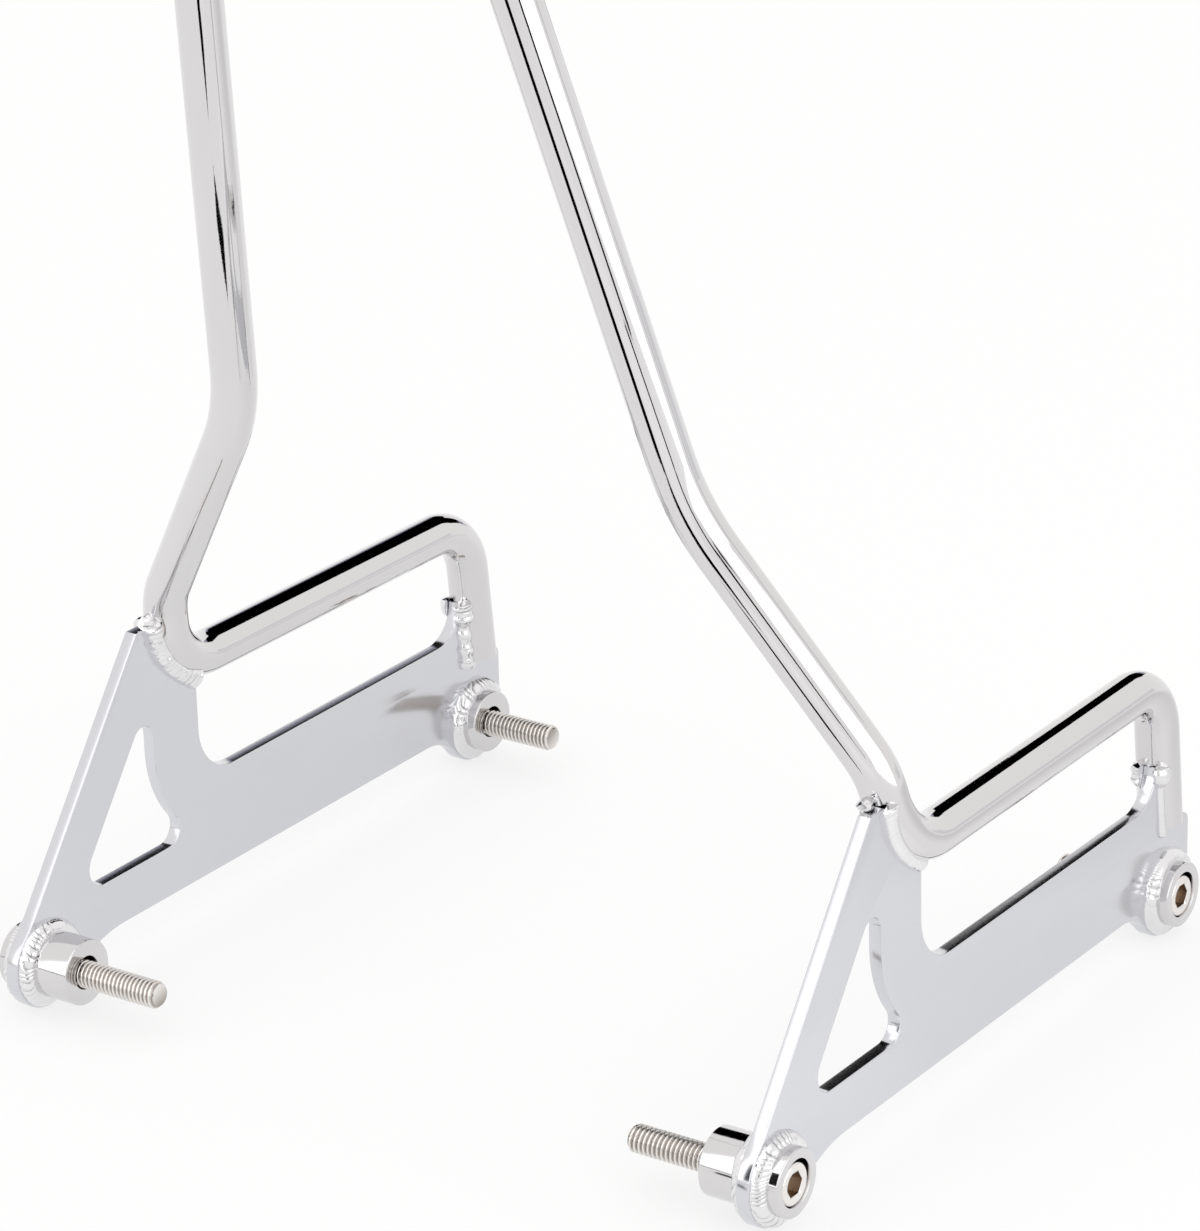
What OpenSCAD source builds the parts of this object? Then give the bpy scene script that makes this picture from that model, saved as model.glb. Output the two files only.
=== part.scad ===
// Motorbike sissy bar: one bent round bar on two side plates, bolted through four weld bungs.
// X runs across the bike, Y forward, Z up. The origin is on the rear bolt axis, midway between the plates.

/* [Side plates] */
// Clear width between the two plates
inner_width = 237.5; // [200:0.5:280]
// Plate thickness
plate_t = 4; // [3:0.5:6]
// Distance between the rear and the front bolt axes
bolt_spacing = 204; // [195:1:230]
// Depth of the plate's bottom edge below the bolt axes
bottom_drop = 1.5; // [0.5:0.5:4]
// Plate left round each bung at the rounded ends
end_margin = 3.9; // [3.5:0.1:6]
// Slope of the rear edge from the horizontal, in degrees
rear_edge_angle = 53.3; // [50:0.1:56]
// How far the rear edge lies inside the rounded end
rear_edge_inset = 1; // [0.5:0.1:2]
// Height of the plate's top corner above the rail's axis
corner_up = 17.2; // [14:0.1:20]
// Height of the slot's lower edge above the bolt axes
slot_z = 28.9; // [25:0.1:32]
// Distance of the slot's rear edge in front of the rear bolt axis
slot_y = 71; // [69:0.5:76]
// Radius of the slot's rear lower corner
neck_r = 15.3; // [8:0.1:18]
// Radius of the slot's front lower corner, which leaves the pointed fin
fin_r = 11; // [8:0.5:13]
// Gap between the plate's edges and the bar
bar_fit = 0.05; // [0.02:0.01:0.2]
// Thickness of the fin's tip behind the leg
fin_tip = 0.6; // [0.4:0.1:2]
// Width of the web between the window and the slot
web_w = 20; // [16:0.5:24]
// Width of the strip along the rear edge
rear_strip_w = 15.6; // [12:0.1:18]
// Height of the window's lower edge above the bolt axes
window_z = 13.5; // [11:0.5:16]
// Radius of the window's rear corner
window_rear_r = 6; // [3:0.5:7]
// Radius of the window's front corner
window_front_r = 5; // [3:0.5:6]
// Radius of the window's top corner
window_top_r = 4.5; // [3:0.5:6]
// Blend between the bottom edge and the rear end
rear_blend_r = 40; // [30:1:50]
// Blend between the bottom edge and the front end
front_blend_r = 18; // [12:1:30]
// Blend between the rear edge and the rear end
edge_blend_r = 40; // [20:1:50]
// Height of the ledge under the front leg above the bolt axes
ledge_z = 20; // [17:0.5:22]
// Rounding of the ledge's front corner
ledge_r = 3; // [1:0.5:4]

/* [Bar] */
// Diameter of the round bar
bar_d = 12.7; // [11:0.1:14]
// Height of the rail's axis above the bolt axes
rail_z = 65.3; // [62:0.1:70]
// Distance of the rail's axis outside the plate's inner face, at the rear bend
rail_out_rear = 2.7; // [1.5:0.1:3]
// The same distance at the front bend
rail_out_front = 0.8; // [0.5:0.1:2.5]
// Corner of the rear bend in front of the rear bolt axis
rear_corner_y = 63.3; // [61:0.1:66]
// Corner of the front bend behind the front bolt axis
front_corner_back = 2; // [0:0.1:4]
// Foot of the front leg in front of the front bolt axis
foot_forward = 2.7; // [0:0.1:4]
// Radius of the front bend on the bar's axis
front_bend_r = 17.5; // [14:0.5:22]
// Radius of the rear bend on the bar's axis
rear_bend_r = 21.7; // [18:0.1:24]
// Corner where the bar starts to lean in: inside the plate's inner face
sway_in = 1.2; // [0:0.1:3]
// The same corner: behind the rear bend's corner
sway_back = 5.7; // [4:0.1:8]
// The same corner: above the rail's axis
sway_up = 25; // [23.5:0.1:28]
// Radius of that bend on the bar's axis
sway_bend_r = 30; // [20:1:34]
// Corner of the knee: inside the plate's inner face
knee_in = 46.2; // [40:0.1:52]
// The same corner: behind the rear bend's corner
knee_back = 24.3; // [20:0.1:28]
// The same corner: above the rail's axis
knee_up = 94.3; // [90:0.1:100]
// Radius of the knee on the bar's axis
knee_bend_r = 69; // [50:1:80]
// Lean of each upright towards the other, above the knee, in degrees
lean_in = 9.1; // [7:0.1:10]
// Lean of the uprights to the rear, above the knee, in degrees
lean_back = 14.4; // [10:0.1:18]
// Radius of the round top on the bar's axis
top_bend_r = 38; // [34:1:44]

/* [Bungs and bolts] */
// Outer diameter of the turned bungs
bung_d = 19; // [18:0.1:21]
// Reach of a bung beyond the plate's outer face
bung_out = 6; // [4.5:0.5:10]
// Reach of a rear bung inside the plate's inner face
rear_bung_in = 14; // [8:0.5:20]
// Reach of a front bung inside the plate's inner face
front_bung_in = 6.5; // [4.5:0.5:12]
// Chamfer on the bungs' ends
bung_chamfer = 0.5; // [0.2:0.1:0.8]
// Gap between a bung and its hole in the plate, on the radius
bung_fit = 0.05; // [0.02:0.01:0.2]
// Outer diameter of the bolts' thread
bolt_d = 7.9; // [7:0.1:8.5]
// Clearance round a bolt in its bung, on the diameter
bolt_clearance = 1.7; // [1.2:0.1:2]
// Diameter of the bolts' heads
head_d = 11.9; // [11:0.1:12.5]
// Height of the bolts' heads
head_h = 7.9; // [6.5:0.1:8.5]
// Clearance round a head in its counterbore, on the diameter
head_clearance = 1.3; // [1.2:0.1:2]
// Depth of the head's top below the bung's outer end
head_sink = 0.4; // [0.1:0.1:1.5]
// Hexagon socket across its flats
hex_af = 6.35; // [5:0.05:7]
// Depth of the hexagon socket
hex_depth = 4; // [3:0.5:5]
// Length of the rear bolts under the head
rear_bolt_len = 42; // [38:1:50]
// Length of the front bolts under the head
front_bolt_len = 31.5; // [28:0.5:40]
// Chamfer on the heads and on the bolts' ends
bolt_chamfer = 0.8; // [0.4:0.1:1.2]
// How far the loose bolts hang below the middle of their bungs
bolt_sag = 0.5; // [0:0.1:0.55]

/* [Welds] */
// Leg of the fillet weld round each bung
ring_weld = 3.4; // [2.5:0.1:3.8]
// Width of the weld bead under the rear bend
corner_weld_w = 4; // [3:0.1:4.6]
// Gap between that bead and the bar
weld_lift = 0.04; // [0.03:0.01:0.1]
// Width of the weld beads beside the front leg
leg_weld_w = 3.4; // [2.5:0.1:4]

/* [Hidden] */
$fn = 48;
// Sides of the swept bar, and the most degrees between its rings
sides = 32;
step = 8;
bar_r = bar_d / 2;
plate_x = inner_width / 2;
plate_mid = plate_x + plate_t / 2;
bung_r = bung_d / 2;
end_r = bung_r + end_margin;
front_y = bolt_spacing + end_r;
corner_z = rail_z + corner_up;
bolt_r = bolt_d / 2;
bolt_hole_r = bolt_r + bolt_clearance / 2;
head_r = head_d / 2;
head_hole_r = head_r + head_clearance / 2;
head_seat = head_h + head_sink;

// Directions along and out of the rear edge, in the plate's plane (Y, Z)
edge_dir = [cos(rear_edge_angle), sin(rear_edge_angle)];
edge_out = [-sin(rear_edge_angle), cos(rear_edge_angle)];
edge_off = end_r - rear_edge_inset;
// The slot's neck and the window's curved side share this centre
neck_c = [slot_y + neck_r, slot_z + neck_r];
web_r = neck_r + web_w;

// Corners of the bar's axis on the right, down from the point where both uprights would meet
sway_corner = [plate_x - sway_in, rear_corner_y - sway_back, rail_z + sway_up];
knee_corner = [plate_x - knee_in, rear_corner_y - knee_back, rail_z + knee_up];
lean = [-sin(lean_in), -cos(lean_in) * sin(lean_back), cos(lean_in) * cos(lean_back)];
apex = knee_corner + lean * (knee_corner[0] / sin(lean_in));
rear_corner = [plate_x + rail_out_rear, rear_corner_y, rail_z];
front_corner = [plate_x + rail_out_front, bolt_spacing - front_corner_back, rail_z];
foot = [plate_x + rail_out_front, bolt_spacing + foot_forward, ledge_z];
path = [apex, knee_corner, sway_corner, rear_corner, front_corner, foot];
bend_r = [top_bend_r, knee_bend_r, sway_bend_r, rear_bend_r, front_bend_r];

function unit(v) = v / norm(v);
function dir(i) = unit(path[i + 1] - path[i]);
function dir_in(i) = i == 0 ? [dir(0)[0], -dir(0)[1], -dir(0)[2]] : dir(i - 1);
function turn(i) = acos(dir_in(i) * dir(i));
function tangent(i) = i > 4 ? 0 : bend_r[i] * tan(turn(i) / 2);
// Directions to a bend's centre, at its start and at its end
function centre_in(i) = unit(dir(i) - dir_in(i) * cos(turn(i)));
function centre_out(i) = unit(dir(i) * cos(turn(i)) - dir_in(i));
function twist(i) = atan2(
  cross(centre_out(i), centre_in(i + 1)) * dir(i), centre_out(i) * centre_in(i + 1));
function centre(i) = path[i] + unit(dir(i) - dir_in(i)) * bend_r[i] / cos(turn(i) / 2);
// Sum of the twists before bend i, so that the swept facets run straight along the bar
function roll(i) = i == 0 ? 0 : roll(i - 1) + twist(i - 1);
// At angle t round bend i: the way to the bend's centre, the way across it, and the bar's axis
function bend_u(i, t) = centre_in(i) * cos(t) - dir_in(i) * sin(t);
function bend_v(i) = cross(dir_in(i), centre_in(i));
function bend_p(i, t) = centre(i) - bend_r[i] * bend_u(i, t);
// A point on the bar's surface there, at angle a about its axis
function on_bar(i, t, a, r) = bend_p(i, t) + r * (bend_u(i, t) * cos(a) + bend_v(i) * sin(a));
function ring_at(i, t) = [for (k = [0:sides - 1]) on_bar(i, t, 360 * k / sides - roll(i), bar_r)];
function bend_rings(i, t0) =
  let (n = ceil((turn(i) - t0) / step)) [for (k = [0:n]) ring_at(i, t0 + (turn(i) - t0) * k / n)];
// The way out of the rear bend in the plate's plane, and the plate's edge there
function away(t) =
  let (u = bend_u(3, t), v = bend_v(3)) unit(u * v[0] - v * u[0]) * (v[0] > 0 ? -1 : 1);
function edge_at(t) = let (e = bend_p(3, t) + (bar_r + bar_fit) * away(t)) [e[1], e[2]];
rear_turn = turn(3);
bend_c = [rear_corner_y + rear_bend_r * tan(rear_turn / 2), rail_z + rear_bend_r];
slot_t = rear_turn - asin((bend_c[0] - slot_y) / (rear_bend_r + bar_r));
// Leg's axis at a height, and half its width along Y
leg_axis = foot - front_corner;
function leg_y(z) = foot[1] + leg_axis[1] * (z - ledge_z) / leg_axis[2];
leg_half = bar_r / cos(atan(leg_axis[1] / leg_axis[2]));
fin_top = slot_z + fin_r;

// The bar in one sweep: rings round each bend, and long facets along the straights
module hoop_bar() {
  right = concat(
    bend_rings(0, turn(0) / 2), bend_rings(1, 0), bend_rings(2, 0), bend_rings(3, 0), bend_rings(4, 0),
    [[for (p = ring_at(4, turn(4))) p + dir(4) * (ledge_z - p[2]) / dir(4)[2]]]);
  m = len(right);
  rings = concat(
    [for (k = [m - 1:-1:1]) [for (p = right[k]) [-p[0], p[1], p[2]]]], right);
  color([0.82, 0.83, 0.85]) loft(rings);
}

// Flat shapes have Y to the right and Z up, and are stood in the plate's plane
module stand(x, t) {
  translate([x, 0, 0]) rotate([90, 0, 90]) linear_extrude(t) children();
}

// Points of an arc round c from angle a0 to a1
function arc(c, r, a0, a1) =
  let (n = ceil(abs(a1 - a0) / 7.5))
  [for (k = [0:n]) let (a = a0 + (a1 - a0) * k / n) c + r * [cos(a), sin(a)]];
function bearing(v) = atan2(v[1], v[0]);
// Centre of the blend between a round end at c and a line that lies off from c along n and runs along d
function blend_c(c, n, d, off, r) = c + n * (off + r) + d * sqrt(pow(end_r + r, 2) - pow(off + r, 2));

module window() {
  side_off = edge_off - rear_strip_w;
  // Each corner's centre lies its radius inside the rear strip's line
  function on_side(r, s) = edge_out * (side_off - r) + edge_dir * s;
  function along_z(r, z) = (z - edge_out[1] * (side_off - r)) / edge_dir[1];
  function along_y(r, y) = (y - edge_out[0] * (side_off - r)) / edge_dir[0];
  side_y = neck_c[0] - web_r;
  c_rear = on_side(window_rear_r, along_z(window_rear_r, window_z + window_rear_r));
  c_top = on_side(window_top_r, along_y(window_top_r, side_y - window_top_r));
  front_dz = neck_c[1] - window_z - window_front_r;
  c_front = [neck_c[0] - sqrt(pow(web_r + window_front_r, 2) - pow(front_dz, 2)),
             window_z + window_front_r];
  side_a = rear_edge_angle + 90;
  web_a = bearing(c_front - neck_c);
  polygon(concat(
    arc(c_rear, window_rear_r, side_a, 270),
    arc(c_front, window_front_r, -90, web_a + 180),
    arc(neck_c, web_r, web_a < 0 ? web_a + 360 : web_a, 180),
    arc(c_top, window_top_r, 0, side_a)));
}

module outline() {
  front_c = [bolt_spacing, 0];
  corner_s = (corner_z - edge_out[1] * edge_off) / edge_dir[1];
  // The edge follows the bend's underside, and above it the straight up to the plate's top
  n = ceil(slot_t / 5);
  up = (edge_at(0)[1] - corner_z) / dir_in(3)[2];
  top = edge_at(0) - [dir_in(3)[1], dir_in(3)[2]] * up;
  fin_y = leg_y(fin_top) - leg_half - bar_fit - fin_tip;
  leg_edge = leg_half + bar_fit;
  c_edge = blend_c([0, 0], edge_out, edge_dir, edge_off, edge_blend_r);
  c_rear = blend_c([0, 0], [0, -1], [1, 0], bottom_drop, rear_blend_r);
  c_front = blend_c(front_c, [0, -1], [-1, 0], bottom_drop, front_blend_r);
  a_edge = bearing(c_edge);
  a_rear = bearing(c_rear);
  a_front = bearing(c_front - front_c);
  difference() {
    polygon(concat(
      arc([0, 0], end_r, a_edge, 360 + a_rear),
      arc(c_rear, rear_blend_r, 180 + a_rear, 90),
      arc(c_front, front_blend_r, 90, 180 + a_front),
      arc(front_c, end_r, a_front, 0),
      arc([front_y - ledge_r, ledge_z - ledge_r], ledge_r, 0, 90),
      [[leg_y(ledge_z) - leg_edge, ledge_z], [leg_y(fin_top) - leg_edge, fin_top]],
      arc([fin_y - fin_r, fin_top], fin_r, 0, -90),
      arc(neck_c, neck_r, 270, 180),
      [for (k = [n:-1:0]) edge_at(slot_t * k / n)],
      [top, edge_out * edge_off + edge_dir * corner_s],
      arc(c_edge, edge_blend_r, rear_edge_angle - 90, a_edge - 180)));
    window();
    circle(r = bung_r + bung_fit);
    translate(front_c) circle(r = bung_r + bung_fit);
  }
}

module side_plate() {
  stand(plate_x, plate_t) outline();
}

module side_plate_right() {
  color([0.85, 0.86, 0.88]) side_plate();
}

module side_plate_left() {
  color([0.85, 0.86, 0.88]) mirror([1, 0, 0]) side_plate();
}

// A bung stands along X, with its counterbore on the outside
module bung(y, reach_in) {
  l = reach_in + plate_t + bung_out;
  c = bung_chamfer;
  translate([plate_x - reach_in, y, 0]) rotate([0, 90, 0]) rotate_extrude()
    polygon([
      [bolt_hole_r, 0], [bung_r - c, 0], [bung_r, c], [bung_r, l - c], [bung_r - c, l],
      [head_hole_r, l], [head_hole_r, l - head_seat], [bolt_hole_r, l - head_seat]]);
}

module bung_rear_left() {
  color([0.88, 0.88, 0.9]) mirror([1, 0, 0]) bung(0, rear_bung_in);
}

module bung_rear_right() {
  color([0.88, 0.88, 0.9]) bung(0, rear_bung_in);
}

module bung_front_left() {
  color([0.88, 0.88, 0.9]) mirror([1, 0, 0]) bung(bolt_spacing, front_bung_in);
}

module bung_front_right() {
  color([0.88, 0.88, 0.9]) bung(bolt_spacing, front_bung_in);
}

// Socket head bolt from the outside, its head seated in the counterbore
module bolt(y, l) {
  c = bolt_chamfer;
  head_x = plate_x + plate_t + bung_out - head_sink;
  translate([head_x, y, -bolt_sag]) rotate([0, -90, 0]) difference() {
    rotate_extrude()
      polygon([
        [0, 0], [head_r - c, 0], [head_r, c], [head_r, head_h], [bolt_r, head_h],
        [bolt_r, head_h + l - c], [bolt_r - c, head_h + l], [0, head_h + l]]);
    translate([0, 0, -1]) rotate([0, 0, 30]) cylinder(h = hex_depth + 1, r = hex_af / sqrt(3), $fn = 6);
  }
}

module bolt_rear_left() {
  color([0.7, 0.69, 0.67]) mirror([1, 0, 0]) bolt(0, rear_bolt_len);
}

module bolt_rear_right() {
  color([0.7, 0.69, 0.67]) bolt(0, rear_bolt_len);
}

module bolt_front_left() {
  color([0.7, 0.69, 0.67]) mirror([1, 0, 0]) bolt(bolt_spacing, front_bolt_len);
}

module bolt_front_right() {
  color([0.7, 0.69, 0.67]) bolt(bolt_spacing, front_bolt_len);
}

// Convex fillet weld round a bung: side 1 lies on the plate's outer face, side -1 on the inner one
module ring(y, side) {
  translate([side > 0 ? plate_x + plate_t : plate_x, y, 0]) rotate([0, 90 * side, 0])
    rotate_extrude() translate([bung_r, 0]) intersection() {
      circle(r = ring_weld);
      square(ring_weld);
    }
}

module weld_rear_left_inner() {
  color([0.92, 0.92, 0.94]) mirror([1, 0, 0]) ring(0, -1);
}

module weld_rear_left_outer() {
  color([0.92, 0.92, 0.94]) mirror([1, 0, 0]) ring(0, 1);
}

module weld_rear_right_inner() {
  color([0.92, 0.92, 0.94]) ring(0, -1);
}

module weld_rear_right_outer() {
  color([0.92, 0.92, 0.94]) ring(0, 1);
}

module weld_front_left_inner() {
  color([0.92, 0.92, 0.94]) mirror([1, 0, 0]) ring(bolt_spacing, -1);
}

module weld_front_left_outer() {
  color([0.92, 0.92, 0.94]) mirror([1, 0, 0]) ring(bolt_spacing, 1);
}

module weld_front_right_inner() {
  color([0.92, 0.92, 0.94]) ring(bolt_spacing, -1);
}

module weld_front_right_outer() {
  color([0.92, 0.92, 0.94]) ring(bolt_spacing, 1);
}

// Section of a fillet bead of width w, in the corner between a plate's face and the bar: from the face
// round to the bar, and back along the bar's arc to the corner at angle a. The functions' values give
// the corner m, the way along the face, and the bar's axis p with its two cross directions u and v.
function bead(side, m, face_dir, w, p, u, v, a) =
  let (r = norm(m - p), b = a - side * 2 * asin(w / 2 / r), end = p + (u * cos(b) + v * sin(b)) * r,
       q = unit(end - m), open = acos(face_dir * q), over = unit(q - face_dir * cos(open)))
  concat(
    [for (k = [0:5]) m + w * (face_dir * cos(open * k / 5) + over * sin(open * k / 5))],
    [for (k = [1:4]) let (c = b + (a - b) * k / 4) p + (u * cos(c) + v * sin(c)) * r]);

// One ring of the bead under the rear bend, at angle t: side 1 lies outside the plate, side -1 inside.
// Its corner lies on the bar in the plane at x, and up moves it along the straight above the bend.
function bend_bead(t, side, x, w, up = 0) =
  let (u = bend_u(3, t), v = bend_v(3), r = bar_r + weld_lift, lift = -dir_in(3) * up,
       across = acos((x - lift[0] - bend_p(3, t)[0]) / (r * norm([u[0], v[0]]))),
       a0 = atan2(v[0], u[0]),
       a = abs(a0 + across) > abs(a0 - across) ? a0 + across : a0 - across)
  bead(side, on_bar(3, t, a, r) + lift, away(t), w, bend_p(3, t) + lift, u, v, a);

// One ring of the bead behind the leg, at height z
function leg_bead(z, side, x, w) =
  let (r = bar_r + weld_lift, a = 180 - asin((x - foot[0]) / r),
       p = [foot[0], leg_y(z) - leg_half + bar_r, z], u = [0, 1, 0], v = [1, 0, 0])
  bead(side, p + r * (u * cos(a) + v * sin(a)), [0, -1, 0], w, p, u, v, a);

// Bead from the slot up along the underside of the rear bend and over the plate's top corner
module corner_weld(side) {
  x = side > 0 ? plate_x + plate_t : plate_x;
  w = corner_weld_w;
  t0 = slot_t - 2.5;
  n = ceil(t0 / 4);
  up = (corner_z - bend_bead(0, side, x, w)[0][2]) / -dir_in(3)[2];
  rings = concat(
    [bend_bead(t0 + 2.4, side, x, 0.45 * w), bend_bead(t0 + 1.6, side, x, 0.8 * w)],
    [for (k = [0:n]) bend_bead(t0 * (n - k) / n, side, x, w)],
    [bend_bead(0, side, x, w, up), bend_bead(0, side, plate_mid, w, up + 0.4),
     bend_bead(0, side, plate_mid, 0.8 * w, up + 1.4), bend_bead(0, side, plate_mid, 0.45 * w, up + 2)]);
  loft(side > 0 ? rings : [for (r = rings) [for (k = [len(r) - 1:-1:0]) r[k]]]);
}

// Solid through a row of rings that all have the same number of points
module loft(rings) {
  n = len(rings);
  m = len(rings[0]);
  polyhedron(
    points = [for (r = rings) for (p = r) p],
    faces = concat(
      [[for (j = [0:m - 1]) j]],
      [for (k = [0:n - 2]) for (j = [0:m - 1]) for (h = [0, 1]) let (j2 = (j + 1) % m)
        h == 0 ? [k * m + j, (k + 1) * m + j, (k + 1) * m + j2]
          : [k * m + j, (k + 1) * m + j2, k * m + j2]],
      [[for (j = [m - 1:-1:0]) (n - 1) * m + j]]),
    convexity = 6);
}

module weld_corner_left_inner() {
  color([0.92, 0.92, 0.94]) mirror([1, 0, 0]) corner_weld(-1);
}

module weld_corner_left_outer() {
  color([0.92, 0.92, 0.94]) mirror([1, 0, 0]) corner_weld(1);
}

module weld_corner_right_inner() {
  color([0.92, 0.92, 0.94]) corner_weld(-1);
}

module weld_corner_right_outer() {
  color([0.92, 0.92, 0.94]) corner_weld(1);
}

// Bead down the rear side of the front leg, from the fin's tip to just under the foot
module leg_weld(side) {
  x = side > 0 ? plate_x + plate_t : plate_x;
  w = leg_weld_w;
  rings = [
    for (s = [[fin_top + 0.6, 0.45], [fin_top, 0.8], [fin_top - 1, 1], [ledge_z + 4, 1], [ledge_z + 0.8, 1],
              [ledge_z - 0.8, 0.95], [ledge_z - 1.8, 0.75], [ledge_z - 2.4, 0.4]])
      leg_bead(s[0], side, x, s[1] * w)];
  loft(side < 0 ? rings : [for (r = rings) [for (k = [len(r) - 1:-1:0]) r[k]]]);
}

module weld_leg_left_inner() {
  color([0.92, 0.92, 0.94]) mirror([1, 0, 0]) leg_weld(-1);
}

module weld_leg_left_outer() {
  color([0.92, 0.92, 0.94]) mirror([1, 0, 0]) leg_weld(1);
}

module weld_leg_right_inner() {
  color([0.92, 0.92, 0.94]) leg_weld(-1);
}

module weld_leg_right_outer() {
  color([0.92, 0.92, 0.94]) leg_weld(1);
}

hoop_bar();
side_plate_left();
side_plate_right();
bung_rear_left();
bung_rear_right();
bung_front_left();
bung_front_right();
bolt_rear_left();
bolt_rear_right();
bolt_front_left();
bolt_front_right();
weld_rear_left_inner();
weld_rear_left_outer();
weld_rear_right_inner();
weld_rear_right_outer();
weld_front_left_inner();
weld_front_left_outer();
weld_front_right_inner();
weld_front_right_outer();
weld_corner_left_inner();
weld_corner_left_outer();
weld_corner_right_inner();
weld_corner_right_outer();
weld_leg_left_inner();
weld_leg_left_outer();
weld_leg_right_inner();
weld_leg_right_outer();
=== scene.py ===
# Chromed sissy bar: a bent hoop bar on two cut-out side plates, seen from the rear right and above.
# Lengths in the dictionaries are millimetres, X across the bike, Y forward, Z up.
import math

import bmesh
import bpy
import numpy as np
from mathutils import Matrix, Vector
from mathutils.geometry import tessellate_polygon


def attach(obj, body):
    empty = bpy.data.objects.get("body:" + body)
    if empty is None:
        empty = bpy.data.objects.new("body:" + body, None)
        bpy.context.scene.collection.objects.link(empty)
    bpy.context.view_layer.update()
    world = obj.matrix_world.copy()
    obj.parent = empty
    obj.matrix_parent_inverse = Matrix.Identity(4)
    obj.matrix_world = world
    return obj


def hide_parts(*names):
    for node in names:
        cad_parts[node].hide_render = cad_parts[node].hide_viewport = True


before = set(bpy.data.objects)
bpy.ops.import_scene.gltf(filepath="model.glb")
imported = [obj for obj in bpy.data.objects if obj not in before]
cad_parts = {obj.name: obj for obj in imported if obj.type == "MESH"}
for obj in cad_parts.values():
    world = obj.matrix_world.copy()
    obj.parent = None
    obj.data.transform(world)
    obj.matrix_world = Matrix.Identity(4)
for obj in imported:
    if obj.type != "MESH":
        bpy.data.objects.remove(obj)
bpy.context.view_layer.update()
scene = bpy.context.scene
mm = 0.001


# small vector helpers, all on whole arrays

def unit(v):
    # Each vector divided by its own length.
    return v / np.linalg.norm(v, axis=-1, keepdims=True)


def sind(a):
    return np.sin(np.radians(a))


def cosd(a):
    return np.cos(np.radians(a))


def bearing(v):
    # Angle in degrees of a flat vector, turning from its first axis to its second.
    return math.degrees(math.atan2(v[1], v[0]))


# meshes

def meshObject(name, points, faces, material, replaced, flat=None, second=None, secondFaces=(),
               sharp=35, valleyShade=None):
    # Mesh from millimetre points, riding on the one body and standing for the CAD nodes it replaces.
    # flat lists its flat shaded faces, secondFaces those of the second material; edges past sharp degrees stay
    # sharp; valley is the share of painted shade at each point, from 0 on the ridges to 1 in the grooves.
    mesh = bpy.data.meshes.new(name)
    mesh.from_pydata((np.asarray(points) * mm).tolist(), [], faces)
    shell = bmesh.new()
    shell.from_mesh(mesh)
    bmesh.ops.recalc_face_normals(shell, faces=shell.faces)  # every shell is closed, so its faces turn outwards
    shell.to_mesh(mesh)
    shell.free()
    smooth = np.ones(len(mesh.polygons), bool)
    if flat is not None:
        smooth[flat] = False
    mesh.polygons.foreach_set("use_smooth", smooth)
    mesh.set_sharp_from_angle(angle=math.radians(sharp))
    mesh.materials.append(material)
    if second is not None:
        mesh.materials.append(second)
        index = np.zeros(len(mesh.polygons), np.int32)
        index[list(secondFaces)] = 1
        mesh.polygons.foreach_set("material_index", index)
    # the grooves' painted shade rides along as a point attribute that the material reads
    if valleyShade is not None:
        groove = mesh.attributes.new("valleyShade", "FLOAT", "POINT")
        groove.data.foreach_set("value", np.ravel(valleyShade).astype(np.float32))
    obj = bpy.data.objects.new(name, mesh)
    scene.collection.objects.link(obj)
    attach(obj, "root")
    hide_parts(*replaced)


def gridFaces(rows, columns, start=0, closeRows=False):
    # Quads over a grid of rows that are closed rings: each joins a point to its neighbours in both directions.
    # closeRows joins the last row to the first as well.
    r = np.arange(rows if closeRows else rows - 1)[:, None]
    c = np.arange(columns)[None, :]
    r2, c2 = (r + 1) % rows, (c + 1) % columns
    quads = np.stack([r * columns + c, r2 * columns + c, r2 * columns + c2, r * columns + c2], -1)
    return (quads.reshape(-1, 4) + start).tolist()


def capFace(row, columns, start=0):
    # One flat face over a whole row of the grid.
    return (start + row * columns + np.arange(columns)).tolist()


def mirrored(points):
    # The same shape on the left side: X changes its sign.
    return points * np.array([-1.0, 1.0, 1.0])


def roundedProfile(corners, steps=4):
    # Closed profile whose corners (a, b, radius) become short arcs: the arc's centre lies on the corner's
    # bisector, at the radius over the cosine of half the turn.
    c = np.array([[p[0], p[1]] for p in corners], float)
    radius = np.array([p[2] for p in corners], float)
    made = []
    for i in range(len(c)):
        into, out = unit(c[i] - c[i - 1]), unit(c[(i + 1) % len(c)] - c[i])
        if radius[i] <= 0:
            made.append(c[i][None])
            continue
        turn = math.acos(float(np.clip(into @ out, -1, 1)))
        reach = radius[i] * math.tan(turn / 2)
        centre = c[i] + unit(out - into) * radius[i] / math.cos(turn / 2)
        a, b = c[i] - into * reach - centre, c[i] + out * reach - centre
        t = np.linspace(0, 1, steps + 1)[:, None]
        made.append(centre + radius[i] * unit(a * (1 - t) + b * t))
    return np.vstack(made)


# the bar's path, its bends and its place on the plates

bar = {
    "radius": 6.35,
    "plateX": 118.75,  # inner face of the right plate
    "plateThick": 4.0,
    "sway": (117.55, 57.6, 90.3),
    "knee": (72.55, 39.0, 159.6),
    "leanIn": 9.1,
    "leanBack": 14.4,
    "rearCorner": (121.45, 63.3, 65.3),
    "frontCorner": (119.55, 202.0, 65.3),
    "foot": (119.55, 206.7, 20.0),
    "bends": (38.0, 69.0, 30.0, 21.7, 17.5),  # radii from the round top to the front bend
    "sides": 72,
    "bendStep": 2.5,  # degrees
}
rearBend = 3  # the bend that lies on the plate


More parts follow.
